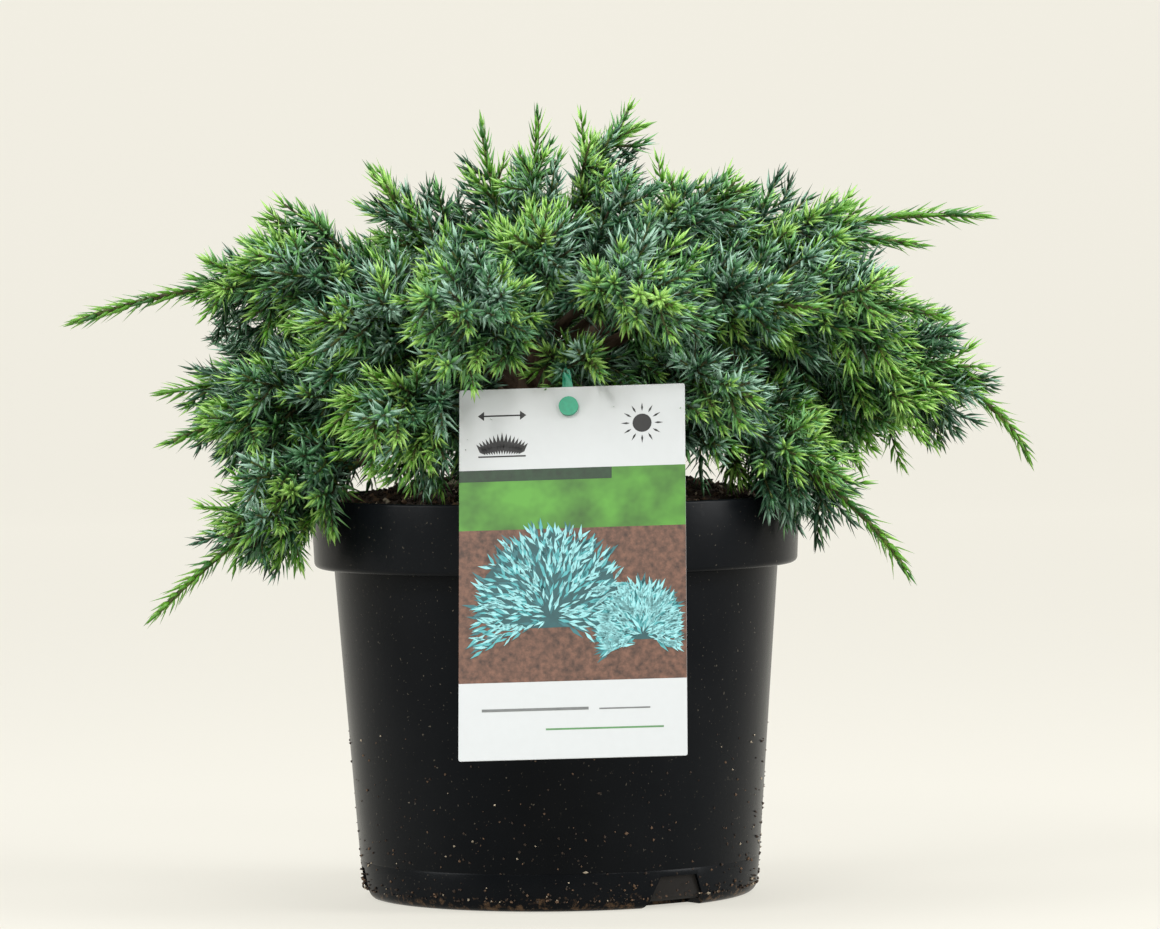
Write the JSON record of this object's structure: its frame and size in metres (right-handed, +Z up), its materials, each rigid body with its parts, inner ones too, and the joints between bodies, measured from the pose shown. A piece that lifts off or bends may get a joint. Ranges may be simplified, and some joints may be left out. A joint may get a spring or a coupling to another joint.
{
  "type": "potted blue carpet juniper",
  "caption": "Low spreading conifer with arching shoots of short blue-green needles, growing in a round black nursery pot with a card label tied on.",
  "frame": {"origin": "centre of the pot's flat underside, which stands on the floor", "axes": "+Z up, front towards -Y with the label, +X to the right seen from the front"},
  "size_m": [0.3786, 0.286, 0.31],
  "materials": {
    "pot": "satin black, dusty",
    "soil": "loose dark potting mix",
    "bark": "thin flaking bark",
    "needles": "waxy blue-green needles",
    "card": "printed, satin",
    "tie": "soft green plastic"
  },
  "bodies": {
    "root": {"bough_back_low_1": "bark", "bough_back_low_2": "bark", "bough_back_low_3": "bark", "bough_back_low_4": "bark", "bough_back_middle_1": "bark", "bough_back_middle_2": "bark", "bough_back_middle_3": "bark", "bough_front_left_low": "bark", "bough_front_left_middle": "bark", "bough_front_middle": "bark", "bough_front_over_label": "bark", "bough_front_right_low": "bark", "bough_front_right_middle": "bark", "bough_left_droop": "bark", "bough_left_long": "bark", "bough_left_low": "bark", "bough_left_middle": "bark", "bough_left_upper": "bark", "bough_right_droop": "bark", "bough_right_front_droop": "bark", "bough_right_front_middle": "bark", "bough_right_long": "bark", "bough_right_middle": "bark", "bough_right_upper": "bark", "foliage_back_low_1": "needles", "foliage_back_low_2": "needles", "foliage_back_low_3": "needles", "foliage_back_low_4": "needles", "foliage_back_middle_1": "needles", "foliage_back_middle_2": "needles", "foliage_back_middle_3": "needles", "foliage_back_top_1": "needles", "foliage_front_left_low": "needles", "foliage_front_left_middle": "needles", "foliage_front_middle": "needles", "foliage_front_over_label": "needles", "foliage_front_right_low": "needles", "foliage_front_right_middle": "needles", "foliage_front_top": "needles", "foliage_left_droop": "needles", "foliage_left_long": "needles", "foliage_left_low": "needles", "foliage_left_middle": "needles", "foliage_left_upper": "needles", "foliage_right_droop": "needles", "foliage_right_front_droop": "needles", "foliage_right_front_middle": "needles", "foliage_right_long": "needles", "foliage_right_middle": "needles", "foliage_right_upper": "needles", "foliage_top_centre": "needles", "foliage_top_far_right": "needles", "foliage_top_left": "needles", "foliage_top_middle": "needles", "foliage_top_right": "needles", "label_card": "card", "label_tie": "tie", "pot": "pot", "soil": "soil", "stem": "bark"}
  },
  "joints": []
}
